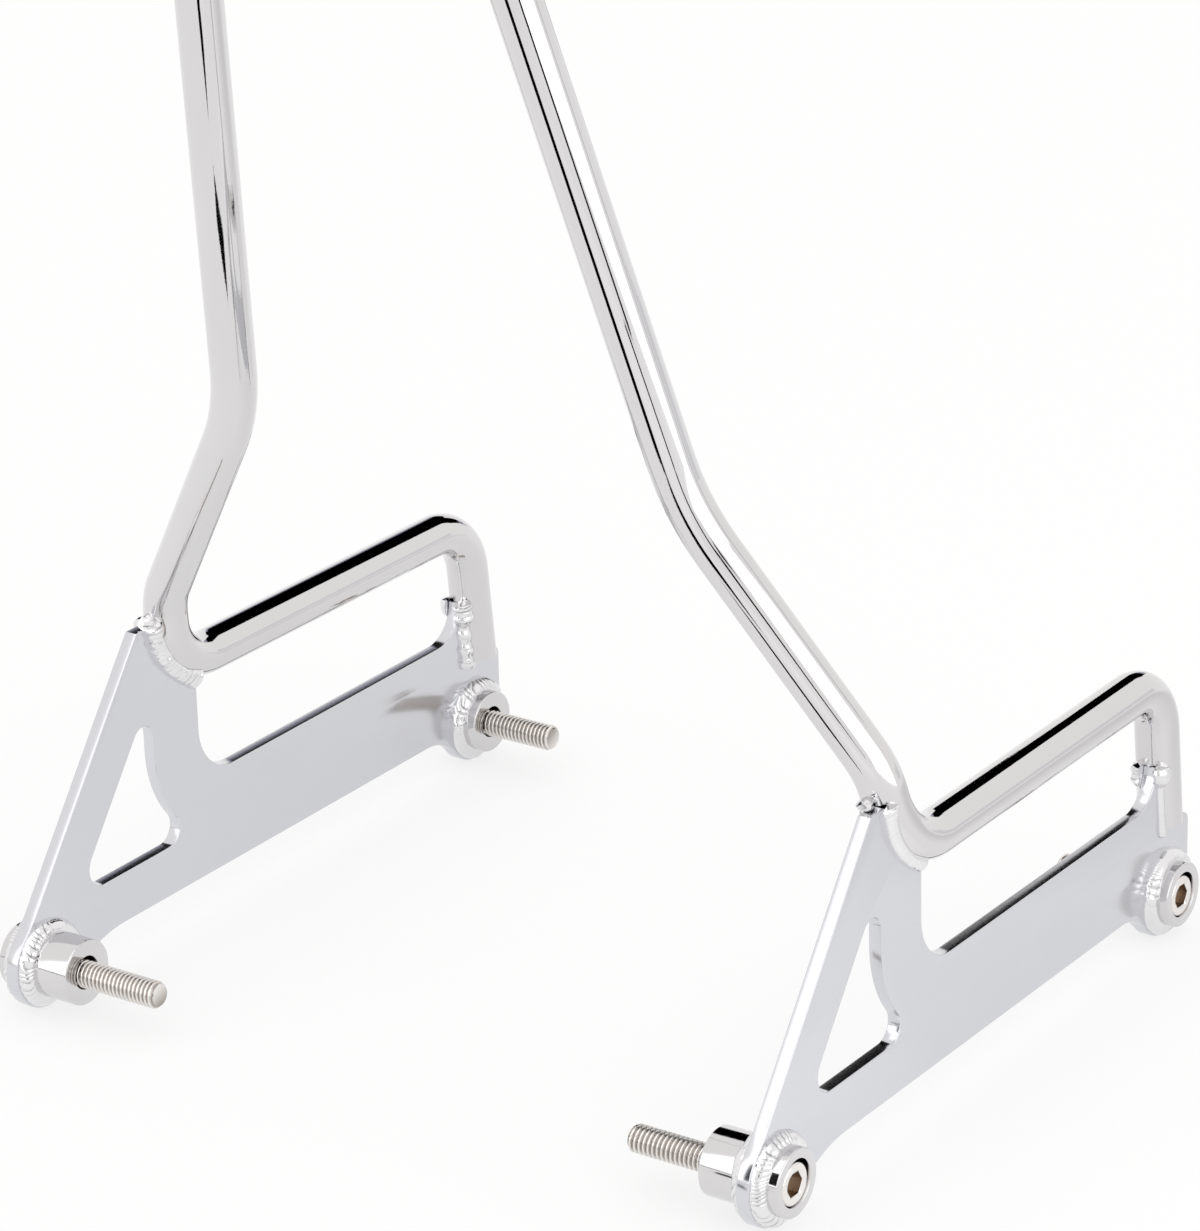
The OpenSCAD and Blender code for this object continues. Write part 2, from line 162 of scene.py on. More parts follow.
def barCorners():
    # Corners of the axis from top to foot: the apex lies where the leaning upright meets the middle plane.
    lean = np.array([-sind(bar["leanIn"]), -cosd(bar["leanIn"]) * sind(bar["leanBack"]),
                     cosd(bar["leanIn"]) * cosd(bar["leanBack"])])
    knee = np.array(bar["knee"])
    apex = knee + lean * knee[0] / sind(bar["leanIn"])
    return np.array([apex, knee, bar["sway"], bar["rearCorner"], bar["frontCorner"], bar["foot"]], float)


corners = barCorners()


def bendFrame(i):
    # Bend i: its turn in degrees, centre, the way to the centre at its start, the way in, and its axis.
    out = unit(corners[i + 1] - corners[i])
    into = unit(corners[i] - corners[i - 1]) if i else out * np.array([1, -1, -1])
    turn = math.degrees(math.acos(float(into @ out)))
    centre = corners[i] + unit(out - into) * bar["bends"][i] / cosd(turn / 2)
    inward = unit(out - into * cosd(turn))
    return turn, centre, inward, into, np.cross(into, inward)


def bendAt(i, t):
    # Axis points and tangents of bend i at the angles t.
    turn, centre, inward, into, _ = bendFrame(i)
    u = inward * cosd(t)[:, None] - into * sind(t)[:, None]
    tangent = into * cosd(t)[:, None] + inward * sind(t)[:, None]
    return centre - bar["bends"][i] * u, tangent


def barPath():
    # Axis points and tangents from the middle of the round top down the right side to the foot.
    points, tangents = [], []
    for i in range(len(bar["bends"])):
        turn = bendFrame(i)[0]
        start = turn / 2 if i == 0 else 0
        t = np.linspace(start, turn, max(4, int((turn - start) / bar["bendStep"])) + 1)
        p, g = bendAt(i, t)
        points.append(p)
        tangents.append(g)
    points.append(corners[-1][None])
    tangents.append(unit(corners[-1] - corners[-2])[None])
    return np.vstack(points), np.vstack(tangents)


def legY(z):
    # Y of the front leg's axis at the height z: the foot's, and on along the leg's slope.
    leg = corners[-1] - corners[-2]
    return corners[-1][1] + leg[1] * (z - bar["foot"][2]) / leg[2]


def sweptBar():
    # A circle of the bar's radius carried along the path, square to it, with the foot cut off flat.
    p, g = barPath()
    across = unit(np.cross(g, np.array([1.0, -1.0, 1.0])))  # the path never runs along this slanting vector
    second = np.cross(g, across)
    a = np.linspace(0, 360, bar["sides"], endpoint=False)[None, :, None]
    circle = (across[:, None] * cosd(a) + second[:, None] * sind(a)) * bar["radius"]
    rings = p[:, None] + circle
    last = rings[-1]
    rings[-1] = last + g[-1] * ((bar["foot"][2] - last[:, 2]) / g[-1][2])[:, None]
    whole = np.concatenate([mirrored(rings[:0:-1]), rings])
    rows, columns = whole.shape[:2]
    faces = gridFaces(rows, columns) + [capFace(0, columns), capFace(rows - 1, columns)]
    return whole.reshape(-1, 3), faces


# outline of the side plates

plate = {
    "boltSpacing": 204.0,
    "endRadius": 13.4,
    "bottomDrop": 1.5,
    "edgeAngle": 53.3,
    "edgeOff": 12.4,
    "cornerZ": 82.5,
    "slotZ": 28.9,
    "slotY": 71.0,
    "neckRadius": 15.3,
    "finRadius": 11.0,
    "finTip": 0.6,
    "webWidth": 20.0,
    "rearStrip": 15.6,
    "windowZ": 13.5,
    "windowRadii": (6.0, 5.0, 4.5),
    "blendRadii": (40.0, 18.0, 40.0),
    "ledgeZ": 20.0,
    "ledgeRadius": 3.0,
    "bungHole": 9.45,
    "edgeRound": 0.35,
    "edgeSteps": 5,
    "barGap": 0.05,
    "underSteps": 24,
    "arcStep": 3.0,  # degrees
}


def arc(c, r, a0, a1):
    # Points of an arc: c plus the radius times cosine and sine of the angles from a0 to a1.
    t = np.linspace(a0, a1, max(3, int(abs(a1 - a0) / plate["arcStep"])) + 1)
    return np.stack([c[0] + r * cosd(t), c[1] + r * sind(t)], -1)


def plateWay(t):
    # The way down from the rear bend in the plate's plane, at the angles t: square to its tangent and to X.
    g = bendAt(rearBend, t)[1]
    way = unit(np.cross(g, np.array([1.0, 0.0, 0.0])))
    return way * np.where(way[:, 2:3] > 0, -1.0, 1.0)


def plateOutline():
    # Outer loop of a plate and its window, as points of Y and Z: arcs in a row, each tangent to its neighbours,
    # joined by the straight edges. Blend centres lie where two offset curves meet, by Pythagoras.
    s = plate
    e, endR = s["edgeAngle"], s["endRadius"]
    edgeDir, edgeOut = np.array([cosd(e), sind(e)]), np.array([-sind(e), cosd(e)])
    rear, front = np.zeros(2), np.array([s["boltSpacing"], 0.0])

    def blendCentre(c, n, d, off, r):
        return c + n * (off + r) + d * math.sqrt((endR + r) ** 2 - (off + r) ** 2)

    rRear, rFront, rEdge = s["blendRadii"]
    cEdge = blendCentre(rear, edgeOut, edgeDir, s["edgeOff"], rEdge)
    cRear = blendCentre(rear, np.array([0.0, -1.0]), np.array([1.0, 0.0]), s["bottomDrop"], rRear)
    cFront = blendCentre(front, np.array([0.0, -1.0]), np.array([-1.0, 0.0]), s["bottomDrop"], rFront)
    aEdge, aRear, aFront = bearing(cEdge), bearing(cRear), bearing(cFront - front)
    # under the bar: the bend's own arc from the slot up, then straight on to the plate's top corner
    turn, _, _, into, _ = bendFrame(rearBend)
    bend = bar["bends"][rearBend]
    bendY = s["slotY"] - (bar["rearCorner"][1] + bend * math.tan(math.radians(turn / 2)))
    slotT = turn - math.degrees(math.asin(-bendY / (bend + bar["radius"])))
    t = np.linspace(slotT, 0, s["underSteps"])
    under = (bendAt(rearBend, t)[0] + (bar["radius"] + s["barGap"]) * plateWay(t))[:, 1:]
    top = under[-1] - into[1:] * (under[-1][1] - s["cornerZ"]) / into[2]
    # beside the front leg: the fin and the ledge keep half the leg's slanting width from its axis
    leg = corners[-1] - corners[-2]
    half = bar["radius"] / cosd(math.degrees(math.atan(leg[1] / leg[2]))) + s["barGap"]
    ledge = (s["boltSpacing"] + endR - s["ledgeRadius"], s["ledgeZ"] - s["ledgeRadius"])
    finTop = s["slotZ"] + s["finRadius"]
    finY = legY(finTop) - half - s["finTip"]
    neck = np.array([s["slotY"] + s["neckRadius"], s["slotZ"] + s["neckRadius"]])
    cornerS = (s["cornerZ"] - edgeOut[1] * s["edgeOff"]) / edgeDir[1]
    outer = np.vstack([
        arc(rear, endR, aEdge, 360 + aRear),
        arc(cRear, rRear, 180 + aRear, 90),
        arc(cFront, rFront, 90, 180 + aFront),
        arc(front, endR, aFront, 0),
        arc(ledge, s["ledgeRadius"], 0, 90),
        [[legY(s["ledgeZ"]) - half, s["ledgeZ"]], [legY(finTop) - half, finTop]],
        arc((finY - s["finRadius"], finTop), s["finRadius"], 0, -90),
        arc(neck, s["neckRadius"], 270, 180),
        under,
        [top, edgeOut * s["edgeOff"] + edgeDir * cornerS],
        arc(cEdge, rEdge, e - 90, aEdge - 180),
    ])
    # window: rear strip, level lower edge, and a curved side that shares the neck's centre
    sideOff, webR = s["edgeOff"] - s["rearStrip"], s["neckRadius"] + s["webWidth"]
    wRear, wFront, wTop = s["windowRadii"]

    def inFromStrip(r, k):
        return edgeOut * (sideOff - r) + edgeDir * k

    cWRear = inFromStrip(wRear, (s["windowZ"] + wRear - edgeOut[1] * (sideOff - wRear)) / edgeDir[1])
    cWTop = inFromStrip(wTop, (neck[0] - webR - wTop - edgeOut[0] * (sideOff - wTop)) / edgeDir[0])
    dz = neck[1] - s["windowZ"] - wFront
    cWFront = np.array([neck[0] - math.sqrt((webR + wFront) ** 2 - dz ** 2), s["windowZ"] + wFront])
    webA = bearing(cWFront - neck) % 360
    window = np.vstack([
        arc(cWRear, wRear, e + 90, 270),
        arc(cWFront, wFront, -90, webA - 180),
        arc(neck, webR, webA, 180),
        arc(cWTop, wTop, 0, e + 90),
    ])
    return outer, window


def cleanLoop(loop):
    # Drops points that lie within a ten-thousandth of a millimetre of the one before.
    keep = np.linalg.norm(loop - np.roll(loop, 1, axis=0), axis=1) > 1e-4
    return loop[keep]


def loopNormals(loop):
    # Outward normals of a loop that runs with the solid on its left: the mean of both edges' normals, lengthened
    # at corners to keep the edges' distance, up to twice.
    into, out = unit(loop - np.roll(loop, 1, axis=0)), unit(np.roll(loop, -1, axis=0) - loop)
    n0, n1 = np.stack([into[:, 1], -into[:, 0]], -1), np.stack([out[:, 1], -out[:, 0]], -1)
    n = unit(n0 + n1)
    return n / np.maximum(np.sum(n * n1, 1, keepdims=True), 0.5)


def sidePlate():
    # Flat faces joined by walls, where every edge is rounded: the loops step in as they near a face.
    outer, window = plateOutline()
    rear = arc((0, 0), plate["bungHole"], 360, 0)[:-1]
    front = rear + np.array([plate["boltSpacing"], 0.0])
    loops = [cleanLoop(outer), cleanLoop(window)[::-1], rear, front]
    r, thick = plate["edgeRound"], bar["plateThick"]
    a = np.linspace(0, 90, plate["edgeSteps"])
    inset = np.concatenate([r * (1 - sind(a)), r * (1 - cosd(a))])
    level = np.concatenate([r * (1 - cosd(a)), thick - r * (1 - sind(a))])
    points, faces, flat = [], [], []
    start, lows, highs = 0, [], []
    for loop in loops:
        n = loopNormals(loop)
        at = loop[None] - n[None] * inset[:, None, None]
        x = np.broadcast_to(level[:, None, None] + bar["plateX"], at.shape[:2] + (1,))
        points.append(np.concatenate([x, at], -1).reshape(-1, 3))
        faces += gridFaces(len(inset), len(loop), start)
        lows.append((start, at[0]))
        highs.append((start + (len(inset) - 1) * len(loop), at[-1]))
        start += len(inset) * len(loop)
    for ends in (lows, highs):
        index = np.concatenate([k + np.arange(len(p)) for k, p in ends])
        spots = np.vstack([p for _, p in ends])
        for tri in tessellate_polygon([[Vector((*q, 0)) for q in p.tolist()] for _, p in ends]):
            (y0, z0), (y1, z1), (y2, z2) = spots[list(tri)]
            if abs((y1 - y0) * (z2 - z0) - (z1 - z0) * (y2 - y0)) > 1e-9:  # leaves out triangles of no area
                flat.append(len(faces))
                faces.append(index[list(tri)].tolist())
    return np.vstack(points), faces, flat


# turned bungs and socket head bolts

bung = {
    "radius": 9.5,
    "bore": 4.8,
    "counterbore": 6.6,
    "headSeat": 8.3,
    "outer": 128.75,
    "innerRear": 104.75,
    "innerFront": 112.25,
    "edge": 0.45,
    "boreEdge": 0.3,
    "sides": 96,
}


def turned(profile, sides, y, z):
    # A closed profile of (radius, x) points turned about the line through (y, z) along X.
    a = np.linspace(0, 360, sides, endpoint=False)
    r, x = profile[:, 0][:, None], profile[:, 1][:, None]
    return np.stack([np.broadcast_to(x, (len(profile), sides)), y + r * cosd(a), z + r * sind(a)], -1)


def bungShape(y, inner):
    # Turned sleeve from x = inner to the outer end: a bore, a wider counterbore and rounded rims.
    b, edge, boreEdge = bung, bung["edge"], bung["boreEdge"]
    seat = b["outer"] - b["headSeat"]
    profile = roundedProfile([
        (b["bore"], inner, boreEdge), (b["radius"], inner, edge), (b["radius"], b["outer"], edge),
        (b["counterbore"], b["outer"], boreEdge), (b["counterbore"], seat, 0.0), (b["bore"], seat, 0.0)])
    grid = turned(profile, b["sides"], y, 0.0)
    return grid.reshape(-1, 3), gridFaces(len(profile), b["sides"], closeRows=True)


bolt = {
    "radius": 3.95,
    "root": 3.2,
    "pitch": 1.41,
    "head": 5.95,
    "headHigh": 7.9,
    "headX": 128.35,
    "hexFlats": 6.35,
    "hexDeep": 4.0,
    "sag": 0.5,
    "lengths": {"rear": 42.0, "front": 31.5},
    "rootWidth": 0.12,  # share of the pitch along the bottom of the groove
    "flankWidth": 0.72,
    "tipChamfer": 0.9,  # depth of the tip's cone, and its slope
    "intoHead": 0.3,
    "neckIn": 0.5,
    "underEdge": 0.3,
    "headEdge": 0.8,
    "edgeSteps": 5,
    "hexRim": 0.25,
    "hexChamfer": 0.35,
    "sides": 72,
    "perPitch": 12,
}


def boltShape(y, length):
    # Shank whose radius follows a ridge that winds along it, one turn for each pitch, and a turned head whose
    # socket's radius is half its flats over the cosine of the angle to the nearest flat.
    b, z = bolt, -bolt["sag"]
    under = b["headX"] - b["headHigh"]
    x = np.linspace(0, length, int(length / b["pitch"] * b["perPitch"]))[:, None]
    a = np.linspace(0, 360, b["sides"], endpoint=False)[None]
    phase = np.mod(x / b["pitch"] - a / 360, 1)
    ridge = np.clip((1 - np.abs(2 * phase - 1) - b["rootWidth"]) / b["flankWidth"], 0, 1)
    ridge = ridge * ridge * (3 - 2 * ridge)
    r = b["root"] + (b["radius"] - b["root"]) * ridge
    r = np.minimum(r, b["radius"] - b["tipChamfer"] + np.clip(length - x, 0, None) * b["tipChamfer"])
    across = np.broadcast_to(under + b["intoHead"] - x, r.shape)
    shank = np.stack([across, y + r * cosd(a), z + r * sind(a)], -1)
    rows = shank.shape[0]
    points = [shank.reshape(-1, 3)]
    # painted shade in the thread's grooves, none on the part inside the head
    grooveShade = [np.ravel((1 - ridge) * (x > b["intoHead"]))]
    faces = gridFaces(rows, b["sides"])
    faces += [capFace(0, b["sides"]), capFace(rows - 1, b["sides"])]
    # head: rounded outside, then into the socket
    outside = roundedProfile([
        (b["radius"] - b["neckIn"], under, 0.0), (b["head"], under, b["underEdge"]),
        (b["head"], b["headX"], b["headEdge"]),
        (b["hexFlats"] / math.sqrt(3) + b["hexRim"], b["headX"], 0.0)], b["edgeSteps"])
    ring = turned(outside, b["sides"], y, z)
    a = a[0]
    hexR = b["hexFlats"] / 2 / cosd(np.mod(a, 60) - 30)
    rim = np.stack([np.zeros(b["sides"]), y + hexR * cosd(a), z + hexR * sind(a)], -1)
    socket = [rim + np.array([b["headX"] - depth, 0.0, 0.0]) for depth in (b["hexChamfer"], b["hexDeep"])]
    head = np.concatenate([ring, np.stack(socket)])
    first = len(faces)
    start = rows * b["sides"]
    points.append(head.reshape(-1, 3))
    grooveShade.append(np.zeros(head.shape[0] * head.shape[1]))
    faces += gridFaces(len(head), b["sides"], start)
    socketFaces = list(range(first + len(outside) * b["sides"], len(faces)))
    faces += [capFace(0, b["sides"], start), capFace(len(head) - 1, b["sides"], start)]
    socketFaces.append(len(faces) - 1)  # the socket's floor
    return np.vstack(points), faces, socketFaces, np.concatenate(grooveShade)


# weld beads

weld = {
    "ringWidth": 3.4,
    "cornerWidth": 3.5,
    "legWidth": 3.2,
    "rippleLength": 1.7,
    "rippleDepth": 0.42,
    "lumpDepth": 0.34,
    "calm": 0.12,  # least share of the ripples' depth
    "curve": 1.9,  # how far the middle of a ripple runs ahead of its sides
    "valleyShare": 1.25,
    "ringFull": 0.97,
    "ringLump": 0.8,
    "ringRest": 0.8,  # height of a ripple that leaves the width as it is
    "ringWander": 2,  # how far the ripples of a ring bunch and spread, in turns
    "ringLively": (0.4, 0.6),  # mean share of the ripples' depth round a ring, and its swing
    "filletFlat": 0.04,
    "filletRest": 0.7,
    "filletWander": (0.3, 4.1),
    "filletLively": 0.35,
    "fromSlot": 2.5,  # degrees of the rear bend
    "pastCorner": 2.4,
    "aboveFin": 0.8,
    "underLedge": 2.6,
    "legWave": (0.1, 5.2),
    "intoBung": 0.2,
    "intoBar": 0.15,
    "backSteps": 4,
    "barGap": 0.04,
    "perRipple": 10,
    "across": 14,
    "seed": 7,
}
# what differs between the outer and the inner beads of a plate: share of the width, how far it climbs from the
# bend and past the plate's corner, and how rough the corner and leg beads are
outerBead = {"cornerFull": 0.8, "climb": 0.3, "wrap": 1.2, "cornerRough": 0.16, "legRough": 0.12}
innerBead = {"cornerFull": 1.0, "climb": 2.85, "wrap": 2.2, "cornerRough": 0.95, "legRough": 0.95}


def ripple(turns, across):
    # Overlapping domes with sharp valleys between: a skewed half sine of each turn, whose middle runs ahead.
    phase = np.mod(turns + weld["curve"] * (across - 0.5) ** 2, 1) ** 0.75
    return np.sin(np.pi * phase) ** 0.55


def lumps(along, across, rng):
    # Slow swelling of a bead: the mean of five sines along it, each with its own slant across.
    total = 0
    for length in (9.0, 6.1, 4.3, 3.1, 2.3):
        start, slant = rng.uniform(0, 2 * np.pi), rng.uniform(-1.5, 1.5)
        total = total + np.sin(2 * np.pi * along / length + slant * across * 3 + start) * length ** 0.5
    return total / 5


def shadeInValleys(dome, middle, lively):
    # Where painted shade sits: the low part of each ripple, less at the bead's sides and on its calm stretches.
    return np.clip(1 - weld["valleyShare"] * dome, 0, 1) * middle * lively ** 1.5


def tapered(s, length, first, last):
    # Straight lines through (distance, value) pairs: the first from the bead's start, the last from its end.
    pairs = list(first) + [(length - back, value) for back, value in last]
    return np.interp(s, [at for at, _ in pairs], [value for _, value in pairs])


def ringBead(x, side, y, seed):
    # Quarter round bead about a bung: at each angle its width is the plain one plus ripples and lumps.
    rng = np.random.default_rng(seed)
    w0, inner = weld["ringWidth"], bung["radius"]
    count = int(round(2 * math.pi * (inner + w0 / 2) / weld["rippleLength"]))
    phi = np.linspace(0, 360, count * weld["perRipple"], endpoint=False)[:, None]
    across = np.linspace(0, 1, weld["across"] + 1)[None]
    waves, bunch = (2, 3, 5, 8, 13), weld["ringWander"]
    wander = sum(np.sin(np.radians(phi * k + rng.uniform(0, 360)) + across) * bunch / k for k in waves)
    dome = ripple(phi / 360 * count + wander, across)
    slow = 0
    for k in waves:
        start, slant = rng.uniform(0, 360), rng.uniform(-2, 2)
        slow = slow + np.sin(np.radians(phi * k + start) + across * slant) / k ** 0.5
    lively = sum(np.sin(np.radians(phi * k + rng.uniform(0, 360))) / k ** 0.5 for k in (1, 2, 3, 5))
    mean, swing = weld["ringLively"]
    lively = np.clip(mean + swing * lively, weld["calm"], 1)
    middle = np.sin(np.pi * np.clip(across, 0.04, 0.96)) ** 0.6
    lift = weld["rippleDepth"] * lively * (dome - weld["ringRest"]) + weld["lumpDepth"] * weld["ringLump"] * slow
    w = w0 * weld["ringFull"] + lift * middle
    a = across * 90
    r, h = inner + w * cosd(a), w * sind(a)
    back = np.full((len(phi), 1), -weld["intoBung"])
    r, h = np.concatenate([r, inner + back], 1), np.concatenate([h, back], 1)
    grid = np.stack([x + side * h, y + r * cosd(phi), r * sind(phi)], -1)
    faces = gridFaces(grid.shape[0], grid.shape[1], closeRows=True)
    # painted shade in the ripples' valleys, none on the back inside the bung
    grooveShade = np.concatenate([shadeInValleys(dome, middle, lively), back * 0], 1)
    return grid.reshape(-1, 3), faces, grooveShade


def filletBead(corner, faceWay, axis, u, v, angle, side, width, along, seed, rough, lively):
    # Bead in the corner between plate and bar: at each station an arc about the corner, from the plate's face to
    # the bar's side, whose radius is the width plus ripples and lumps. Its back lies just inside the bar.
    rng = np.random.default_rng(seed)
    r = np.linalg.norm(corner - axis, axis=1)[:, None]
    b = angle - side * 2 * np.degrees(np.arcsin(width[:, None] / 2 / r))
    end = axis + r * (u * cosd(b) + v * sind(b))
    toBar = unit(end - corner)
    opened = np.degrees(np.arccos(np.clip(np.sum(faceWay * toBar, 1, keepdims=True), -1, 1)))
    over = unit(toBar - faceWay * cosd(opened))
    across = np.linspace(0, 1, weld["across"] + 1)[None]
    bunch, reach = weld["filletWander"]
    turns = along[:, None] / weld["rippleLength"] + bunch * np.sin(along[:, None] / reach + 1)
    dome = ripple(turns, across)
    middle = np.sin(np.pi * across) ** 0.6
    fade = np.clip(width / width.max(), 0, 1)[:, None] ** 2
    swing = weld["filletLively"] * lumps(along[:, None] * 0.7, across * 0, rng)
    lively = np.clip(lively[:, None] + swing, weld["calm"], 1)
    lift = weld["rippleDepth"] * lively * (dome - weld["filletRest"])
    lift = (lift + weld["lumpDepth"] * lumps(along[:, None], across, rng)) * rough
    w = width[:, None] * (1 - weld["filletFlat"] * np.sin(np.pi * across)) + lift * middle * fade
    w = w[..., None]
    turn = (opened * across)[..., None]
    shell = corner[:, None] + w * (faceWay[:, None] * cosd(turn) + over[:, None] * sind(turn))
    k = np.linspace(0, 1, weld["backSteps"] + 1)[None, 1:]
    back = (b + (angle - b) * k)[..., None]
    skin = u[:, None] * cosd(back) + v[:, None] * sind(back)
    inside = axis[:, None] + (r - weld["intoBar"])[..., None] * skin
    grid = np.concatenate([shell, inside], 1)
    rows, columns = grid.shape[:2]
    faces = gridFaces(rows, columns) + [capFace(0, columns), capFace(rows - 1, columns)]
    # painted shade in the ripples' valleys, none on the back inside the bar
    grooveShade = shadeInValleys(dome, middle * rough, lively)
    grooveShade = np.concatenate([grooveShade, np.zeros((rows, weld["backSteps"]))], 1)
    return grid.reshape(-1, 3), faces, grooveShade


def cornerBead(side, seed):
    # From the slot up the underside of the rear bend, past the plate's top corner; the inner one wraps its edge.
    # The corner line lies on the bar's skin where its X is the plate face's: its angle is arccos of X over radius.
    made = outerBead if side > 0 else innerBead
    turn, _, _, into, cross = bendFrame(rearBend)
    bend = bar["bends"][rearBend]
    face = bar["plateX"] + (bar["plateThick"] if side > 0 else 0)
    middle = bar["plateX"] + bar["plateThick"] / 2
    r = bar["radius"] + weld["barGap"]
    bendY = bar["rearCorner"][1] + bend * math.tan(math.radians(turn / 2))
    slotT = turn - math.degrees(math.asin((bendY - plate["slotY"]) / (bend + bar["radius"])))
    t0 = slotT - weld["fromSlot"]
    over = face if side > 0 else middle
    onBend = t0 / 57.3 * 28  # degrees to radians, times the bead's radius about the bend's centre
    climb, pastCorner = made["climb"], weld["pastCorner"]
    length = onBend + climb + pastCorner
    # along the bead: its start, the bend, the bend's end, the plate's corner, the turn over it, the bead's end
    knots = np.array([0, 1.0, length - climb - pastCorner, length - pastCorner, length - 2.0, length])
    s = np.linspace(0, length, int(length / weld["rippleLength"] * weld["perRipple"]))
    t = np.interp(s, knots, [t0 + 2.2, t0, 0, 0, 0, 0])
    up = np.interp(s, knots, [0, 0, 0, climb, climb + 0.4, climb + made["wrap"]])
    x = np.interp(s, knots, [face, face, face, face, over, over])
    width = weld["cornerWidth"] * made["cornerFull"]
    width = width * tapered(s, length, [(0, 0.35), (0.5, 0.8), (1.6, 1)], [(1.8, 1), (0.7, 0.8), (0, 0.3)])
    width = width * tapered(s, length, [(0, 1.15), (3, 1.0), (8, 0.8)], [(6, 0.85), (3, 1.1)])
    lively = tapered(s, length, [(0, 0.5), (4, 0.45), (9, 0.15)], [(7, 0.3), (4, 1.0)])
    axis, tangent = bendAt(rearBend, t)
    lift = -into * up[:, None]
    v = np.broadcast_to(cross, axis.shape)
    u = np.cross(v, tangent)
    across = np.degrees(np.arccos((x - lift[:, 0] - axis[:, 0]) / (r * np.hypot(u[:, 0], v[:, 0]))))
    a0 = np.degrees(np.arctan2(v[:, 0], u[:, 0]))
    angle = np.where(np.abs(a0 + across) > np.abs(a0 - across), a0 + across, a0 - across)[:, None]
    axis = axis + lift
    corner = axis + r * (u * cosd(angle) + v * sind(angle))
    return filletBead(corner, plateWay(t), axis, u, v, angle, side, width, s, seed, made["cornerRough"], lively)


def legBead(side, seed):
    # Down the rear side of the front leg, from the fin's tip to just under the foot, in the same kind of corner.
    made = outerBead if side > 0 else innerBead
    face = bar["plateX"] + (bar["plateThick"] if side > 0 else 0)
    r = bar["radius"] + weld["barGap"]
    top, low = plate["slotZ"] + plate["finRadius"] + weld["aboveFin"], plate["ledgeZ"] - weld["underLedge"]
    length = top - low
    s = np.linspace(0, length, int(length / weld["rippleLength"] * weld["perRipple"]))
    z = top - s
    width = weld["legWidth"] * tapered(s, length, [(0, 0.5), (0.6, 1.1), (2, 1.3), (5, 1.25), (8, 0.8)],
                                       [(2.4, 0.85), (0.8, 0.8), (0, 0.35)])
    if side > 0:
        width = width * np.interp(s, [0, 4.5, 7], [0.9, 0.85, 0.5])  # the outer one thins out lower down
    else:
        swell, waveLength = weld["legWave"]
        width = width * (1 + swell * np.sin(s * 2 * math.pi / waveLength + 0.6))
    lively = tapered(s, length, [(0, 1.0), (5, 0.8), (9, 0.3)], [(0, 0.6)])
    axis = np.stack([np.full(len(s), bar["foot"][0]), legY(z), z], -1)
    u, v = np.broadcast_to([0.0, 1.0, 0.0], axis.shape), np.broadcast_to([1.0, 0.0, 0.0], axis.shape)
    angle = np.full((len(s), 1), 180 - math.degrees(math.asin((face - bar["foot"][0]) / r)))
    corner = axis + r * (u * cosd(angle) + v * sind(angle))
    way = np.broadcast_to([0.0, -1.0, 0.0], axis.shape)
    return filletBead(corner, way, axis, u, v, angle, side, width, s, seed, made["legRough"], lively)


# shader maths: a thin wrapper, so that node chains read as formulas

class Value:
    # one output socket; an operator on it adds a Math node
    def __init__(self, tree, socket):
        self.tree, self.socket = tree, socket

    def math(self, operation, other=None):
        return self.tree.make("ShaderNodeMath", {"operation": operation}, {0: self, 1: other})

    def __add__(self, other):
        return self.math("ADD", other)

    __radd__ = __add__

    def __mul__(self, other):
        return self.math("MULTIPLY", other)

    __rmul__ = __mul__

    def __sub__(self, other):
        return self.math("SUBTRACT", other)

    def __rsub__(self, other):
        return self * -1 + other


class Tree:
    # the nodes and links of one material or world
    def __init__(self, nodes):
        self.nodes, self.links = nodes.nodes, nodes.links

    def fill(self, node, sockets):
        # each socket takes a number or colour, or is linked to a value
        for key, item in sockets.items():
            if isinstance(item, Value):
                self.links.new(item.socket, node.inputs[key])
            elif item is not None:
                node.inputs[key].default_value = item

    def make(self, kind, settings, sockets, out=0):
        # any node: its type, its settings first, then its sockets; gives back one of its outputs
        node = self.nodes.new(kind)
        for key, item in settings.items():
            setattr(node, key, item)
        self.fill(node, sockets)
        return Value(self, node.outputs[out])


def newMaterial(name):
    # an empty material, its tree and its Principled shader
    material = bpy.data.materials.new(name)
    material.use_nodes = True
    tree = Tree(material.node_tree)
    return material, tree, tree.nodes["Principled BSDF"]


def noise(tree, scale, detail=2.0, stretch=(1, 1, 1)):
    # noise on the piece's own coordinates, with scale in waves per metre
    place = tree.make("ShaderNodeTexCoord", {}, {}, "Object")
    place = tree.make("ShaderNodeMapping", {}, {"Vector": place, "Scale": stretch})
    return tree.make("ShaderNodeTexNoise", {}, {"Vector": place, "Scale": scale, "Detail": detail})


def mixColour(tree, factor, a, b):
    # a where the factor is 0, b where it is 1
    colours = [(*c, 1) if isinstance(c, tuple) else c for c in (a, b)]
    return tree.make("ShaderNodeMix", {"data_type": "RGBA"}, {0: factor, 6: colours[0], 7: colours[1]}, 2)


